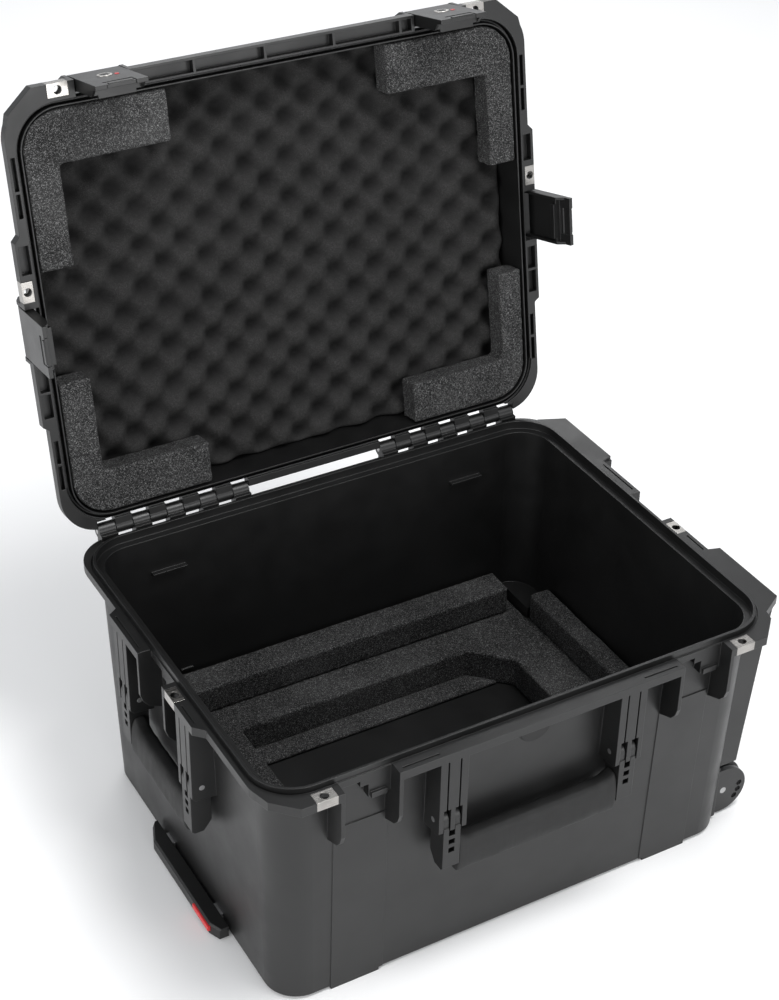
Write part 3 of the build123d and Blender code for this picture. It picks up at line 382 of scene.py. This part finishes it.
def rounded_rectangle(hx, hy, radius, corner_steps, side_step):
    """Points around a rounded rectangle, anticlockwise, with their outward directions."""
    points = []
    corners = ((1, 1, 0), (-1, 1, 90), (-1, -1, 180), (1, -1, 270))
    for sx, sy, start in corners:
        cx, cy = sx * (hx - radius), sy * (hy - radius)
        for step in range(corner_steps + 1):
            angle = math.radians(start + 90 * step / corner_steps)
            way = (math.cos(angle), math.sin(angle))
            points.append(((cx + radius * way[0], cy + radius * way[1]), way))
    full = []
    for (p, way), (q, way2) in zip(points, points[1:] + points[:1]):
        full.append((p, way))
        gap = math.dist(p, q)
        parts = int(gap / side_step)
        for k in range(1, parts):
            t = k / parts
            full.append(((p[0] + (q[0] - p[0]) * t, p[1] + (q[1] - p[1]) * t), way))
    return full


# ---------------------------------------------------------------- cut foam pieces
def foam_block(node, body, paint, voxel=2.3 * MM, wobble=0.5 * MM):
    """Die-cut foam with softened edges and a slightly uneven, open-celled surface."""
    slow_waves, fine_waves, fine_seed = 28.0, 260.0, Vector((7.1, 3.3, 5.2))
    fine_share = 0.7
    sunk = 0.25 * MM
    source = NODES[node]
    piece = bpy.data.objects.new(node + "_soft", source.data.copy())
    bpy.context.scene.collection.objects.link(piece)
    piece.data.materials.clear()
    remesh = piece.modifiers.new("remesh", "REMESH")
    remesh.mode = "VOXEL"
    remesh.voxel_size = voxel
    remesh.use_smooth_shade = True
    relax = piece.modifiers.new("relax", "SMOOTH")
    relax.factor = 0.5
    relax.iterations = 2
    apply_modifiers(piece)
    mesh = piece.data
    count = len(mesh.vertices)
    co = np.zeros(count * 3)
    no = np.zeros(count * 3)
    mesh.vertices.foreach_get("co", co)
    mesh.vertices.foreach_get("normal", no)
    co = co.reshape(-1, 3)
    no = no.reshape(-1, 3)
    shift = np.empty(count)
    for i, p in enumerate(co):
        low = noise.noise(Vector(p * slow_waves))
        fine = noise.noise(Vector(p * fine_waves) + fine_seed)
        shift[i] = low * wobble + fine * wobble * fine_share
    co += no * (shift - sunk)[:, None]
    mesh.vertices.foreach_set("co", co.ravel())
    mesh.polygons.foreach_set("use_smooth", [True] * len(mesh.polygons))
    mesh.update()
    mesh.materials.append(paint)
    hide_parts(node)
    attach(piece, body)


# ---------------------------------------------------------------- egg-crate foam in the lid
def egg_crate(paint):
    """Convoluted foam sheet: broad round tops and deep small hollows.

    It is drawn where it lies with the lid closed, and opened with the lid.
    """
    half_x, half_y, radius = 281.2 * MM, 217.2 * MM, 38.6 * MM
    top_z, back_z, depth = 322.9 * MM, 343.2 * MM, 15.5 * MM
    pitch_x, pitch_y = 50.6 * MM, 45.2 * MM
    turn = math.radians(2.3)
    start = (-5.4 * MM, -179.1 * MM)
    cols, rows = 250, 190
    warp_waves, warp_reach = 16, 3.4 * MM
    deeper_waves, deeper_share = 19, 0.16
    hollow_power = 1.45
    slow_waves, slow_reach = 22, 0.7 * MM
    fine_waves, fine_reach = 160, 0.25 * MM
    uneven_share, lift = 0.6, 0.5 * MM
    edge_round = 5.0 * MM
    least_thick = 1.5 * MM
    verts = []
    for r in range(rows + 1):
        y = half_y * (2 * r / rows - 1)
        over = max(0.0, abs(y) - (half_y - radius))
        extent = half_x - (radius - math.sqrt(max(0.0, radius * radius - over * over)))
        for c in range(cols + 1):
            x = extent * (2 * c / cols - 1)
            warp = noise.noise_vector(Vector((x * warp_waves, y * warp_waves, 6.1))) * warp_reach
            dx, dy = x - start[0] + warp.x, y - start[1] + warp.y
            u = dx * math.cos(turn) + dy * math.sin(turn)
            v = -dx * math.sin(turn) + dy * math.cos(turn)
            wave = math.cos(2 * math.pi * u / pitch_x) * math.cos(2 * math.pi * v / pitch_y)
            at = Vector((x * deeper_waves, y * deeper_waves, 9.7))
            deeper = 1 + deeper_share * noise.noise(at)
            hollow = ((1 + wave) / 2) ** hollow_power * deeper
            uneven = noise.noise(Vector((x * slow_waves, y * slow_waves, 0.3))) * slow_reach
            uneven += noise.noise(Vector((x * fine_waves, y * fine_waves, 4.3))) * fine_reach
            edge = min(half_x - abs(x), half_y - abs(y), extent - abs(x))
            rounded = max(0.0, edge_round - edge) ** 2 / (2 * edge_round)
            z = top_z + depth * hollow + uneven * uneven_share + lift + rounded
            verts.append((x, y, min(z, back_z - least_thick)))
    stride = cols + 1
    faces = []
    for r in range(rows):
        for c in range(cols):
            a = r * stride + c
            faces.append((a, a + stride, a + stride + 1, a + 1))
    rim = [c for c in range(cols)]
    rim += [r * stride + cols for r in range(rows)]
    rim += [rows * stride + c for c in range(cols, 0, -1)]
    rim += [r * stride for r in range(rows, 0, -1)]
    first = len(verts)
    for index in rim:
        x, y, _ = verts[index]
        verts.append((x, y, back_z))
    count = len(rim)
    for k in range(count):
        nxt = (k + 1) % count
        faces.append((rim[k], rim[nxt], first + nxt, first + k))
    faces.append(tuple(first + k for k in range(count)))
    piece = new_piece("lid_egg_crate", [OPENED @ Vector(v) for v in verts], faces, paint)
    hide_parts("lid_egg_foam")
    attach(piece, "lid")


# ---------------------------------------------------------------- seal in the lid's groove
def seal_bead(paint):
    """Rubber bead along the groove around the lid's mouth, drawn closed and opened with the lid."""
    hx, hy, radius = 289.0 * MM, 225.0 * MM, 46.0 * MM
    half_wide, z0, z1 = 1.85 * MM, 298.95 * MM, 302.35 * MM
    middle, half_tall = (z0 + z1) / 2, (z1 - z0) / 2
    around = 14
    corner_steps, side_step = 14, 12 * MM
    swell_waves, swell_share = 30, 0.05
    verts = []
    path = rounded_rectangle(hx, hy, radius, corner_steps, side_step)
    for (x, y), way in path:
        swell = 1 + swell_share * noise.noise(Vector((x * swell_waves, y * swell_waves, 2.2)))
        for k in range(around):
            angle = 2 * math.pi * k / around
            out = half_wide * math.cos(angle) * swell
            up = half_tall * math.sin(angle) * min(1.0, swell)
            verts.append(OPENED @ Vector((x + way[0] * out, y + way[1] * out, middle + up)))
    count = len(path)
    faces = []
    for r in range(count):
        after = (r + 1) % count
        for k in range(around):
            n = (k + 1) % around
            faces.append((r * around + k, r * around + n, after * around + n, after * around + k))
    piece = new_piece("lid_seal_bead", verts, faces, paint)
    fix_normals(piece)
    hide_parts("lid_seal")
    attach(piece, "lid")


# ---------------------------------------------------------------- rubber grips
def grip(side, paint):
    """Rubber sleeve with slack wrinkles across it and thicker shoulders at both ends."""
    node = f"handle_{side}_grip"
    low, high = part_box(node)
    size = high - low
    along = 0 if size.x > size.y else 1
    across = 1 - along
    middle = (low + high) / 2
    half = size[along] / 2
    room = 0.35 * MM
    thick = size[across] / 2 - room
    tall = size.z / 2 - room
    rings, around = 150, 56
    side_power, top_power = 0.55, 0.82
    shoulder_share, shoulder_out = 0.12, 0.2 * MM
    rise_length, rise_tall = 22 * MM, 9.0 * MM
    pinch_from, pinch_deep = 0.985, 0.9 * MM
    verts = []
    for r in range(rings + 1):
        t = 2 * r / rings - 1
        shoulder = min(1.0 * MM * max(0.0, 1 - (1 - abs(t)) / shoulder_share), shoulder_out)
        wrinkle = 0.30 * MM * noise.noise(Vector((t * 7, 1.7, half)))
        wrinkle += 0.10 * MM * noise.noise(Vector((t * 40, 0.2, 8.1)))
        rise = rise_tall * max(0.0, (abs(t) * half - (half - rise_length)) / rise_length) ** 2
        pinch = pinch_deep * max(0.0, (abs(t) - pinch_from) / (1 - pinch_from))
        for k in range(around):
            angle = 2 * math.pi * k / around
            c, s = math.cos(angle), math.sin(angle)
            fx = math.copysign(abs(c) ** side_power, c)
            fz = math.copysign(abs(s) ** top_power, s)
            local = 0.35 * MM * noise.noise(Vector((t * half * 90, c * 1.6, s * 1.6)))
            grow = wrinkle + local - pinch - shoulder_out + shoulder
            p = [0.0, 0.0, 0.0]
            p[along] = middle[along] + t * half
            p[across] = middle[across] + (thick + grow) * fx
            p[2] = middle.z + (tall + grow) * fz + rise * max(0.0, s)
            verts.append(p)
    faces = []
    for r in range(rings):
        for k in range(around):
            n = (k + 1) % around
            faces.append((r * around + k, r * around + n, (r + 1) * around + n, (r + 1) * around + k))
    faces.append(tuple(range(around)))
    faces.append(tuple(rings * around + k for k in range(around - 1, -1, -1)))
    piece = new_piece(f"grip_{side}", verts, faces, paint)
    fix_normals(piece)
    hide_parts(node)
    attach(piece, f"handle_{side}")


# ---------------------------------------------------------------- build
make_camera()
make_light()
make_floor()

plastic = moulded_plastic("shell_plastic", grey(0.0045), grey(0.0065), grey(0.032), 0.40)
latch_paint = moulded_plastic("latch_plastic", grey(0.005), grey(0.007), grey(0.036), 0.36, 1900.0)
panel_paint = moulded_plastic("panel_plastic", grey(0.006), grey(0.009), grey(0.03), 0.34, 2600.0)
wheel_paint = moulded_plastic("wheel_plastic", grey(0.006), grey(0.008), grey(0.03), 0.40, 1700.0)
foam = foam_paint("cut_foam", grey(0.001), grey(0.27), 1.0 * MM, 1.9, 0.5 * MM)
egg_paint = foam_paint("egg_foam", grey(0.004, 0.03), grey(0.042, 0.02), 0.9 * MM, 0.9, 0.35 * MM, True)
nickel = metal_paint("bright_steel", (0.42, 0.405, 0.385, 1), 0.2)
pin_steel = metal_paint("steel_pin", (0.50, 0.50, 0.50, 1), 0.3)
tube_metal = metal_paint("tube_aluminium", (0.62, 0.62, 0.63, 1), 0.3, (4.0, 500.0, 500.0))
grip_rubber = rubber_paint("grip_rubber", grey(0.005), grey(0.009))
seal_rubber = rubber_paint("seal_rubber", grey(0.008), grey(0.012), 0.3)
tyre_rubber = rubber_paint("tyre", grey(0.009), grey(0.018), 0.7, 900.0)
red = red_paint()
cap_paint = rubber_paint("cap_plastic", grey(0.004), grey(0.007), 0.5)

PAINTS = {
    "shell_plastic": plastic, "latch_plastic": latch_paint, "grip_rubber": grip_rubber,
    "seal_rubber": seal_rubber, "foam": foam, "egg_foam": egg_paint, "panel_plastic": panel_paint,
    "bright_steel": nickel, "steel_pin": pin_steel, "tube_aluminium": tube_metal,
    "red_plastic": red, "wheel_plastic": wheel_paint, "tyre": tyre_rubber,
}
for part in frame["record"]["subparts"]:
    dress(PAINTS[part["material_slot"]], part["node"])

dress(cap_paint, "vent_cap")
for side in ("left", "right"):
    dress(key_paint(f"latch_front_{side}_key_barrel"), f"latch_front_{side}_key_barrel")

for name in ("foam_cradle", "foam_back_bar", "foam_right_bar", "foam_recess_step"):
    foam_block(name, "base", foam)
for name in ("front_left", "front_right", "back_left", "back_right"):
    foam_block("lid_foam_" + name, "lid", foam)
egg_crate(egg_paint)
seal_bead(seal_rubber)
for side in ("front", "left", "right"):
    grip(side, grip_rubber)
